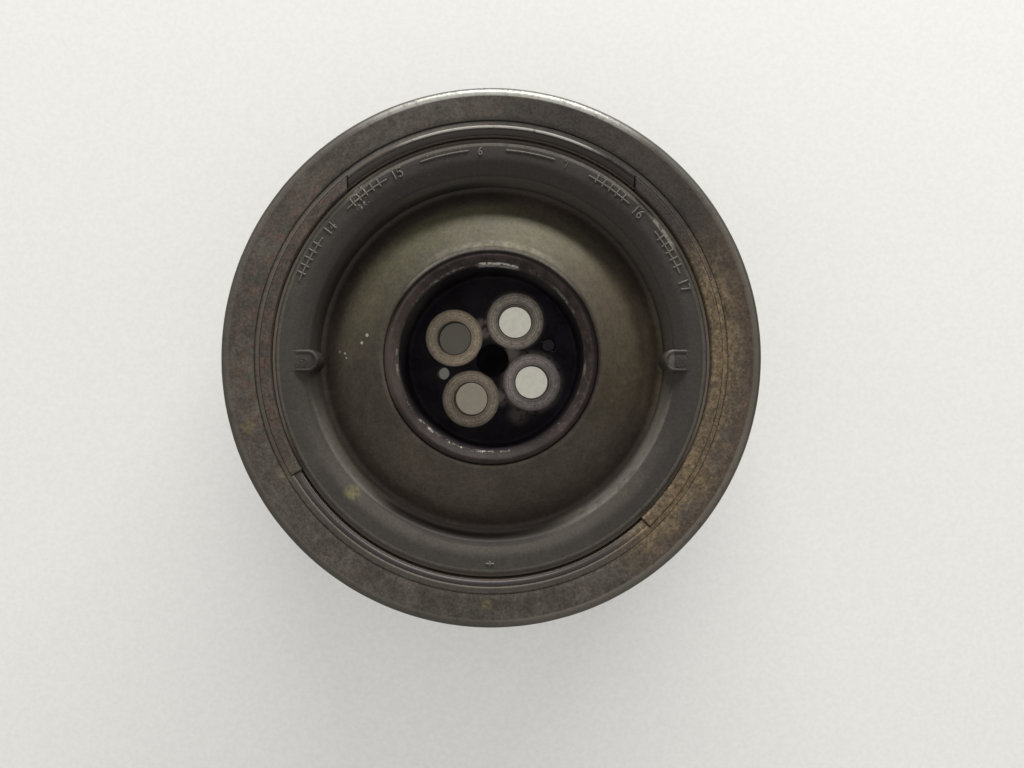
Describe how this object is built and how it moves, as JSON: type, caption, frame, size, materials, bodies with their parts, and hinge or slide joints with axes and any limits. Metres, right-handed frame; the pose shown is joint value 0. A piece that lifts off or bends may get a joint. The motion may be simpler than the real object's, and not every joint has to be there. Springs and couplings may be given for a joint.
{
  "type": "harmonic balancer",
  "caption": "Crankshaft torsional damper with a ribbed belt pulley held to its bolt-on hub by a rubber ring, used and rusty.",
  "frame": {"origin": "centre of the rear face, the engine-side plane that the damper lies on", "axes": "+Z along the axis towards the front, where the bolt heads seat; +Y halfway along the shorter gap in the stop ring"},
  "size_m": [0.165, 0.165, 0.0515],
  "materials": {
    "pulley_steel": "dull dark steel with brown rust and handling wear",
    "stop_steel": "rough, rusty",
    "carrier_steel": "dull steel, rubbed bright along its edge",
    "dish_steel": "satin pressed steel, oily olive brown",
    "hub_steel": "dark scaled steel with chipped bare edges",
    "pin_steel": "dark oiled steel",
    "inertia_iron": "dark cast iron with rust",
    "soft_rubber": "matt grey-black rubber, dusty",
    "bearing_plastic": "black sliding plastic"
  },
  "bodies": {
    "root": {"belt_pulley": "pulley_steel", "bearing_bush": "bearing_plastic", "thrust_ring_front": "bearing_plastic", "thrust_ring_rear": "bearing_plastic", "inertia_ring": "inertia_iron", "damper_rubber": "soft_rubber", "hub": "hub_steel", "locating_pin": "pin_steel", "inner_carrier": "dish_steel", "decoupler_rubber": "soft_rubber", "outer_carrier": "carrier_steel", "stop_segment_right": "stop_steel", "stop_segment_left": "stop_steel"}
  },
  "joints": []
}
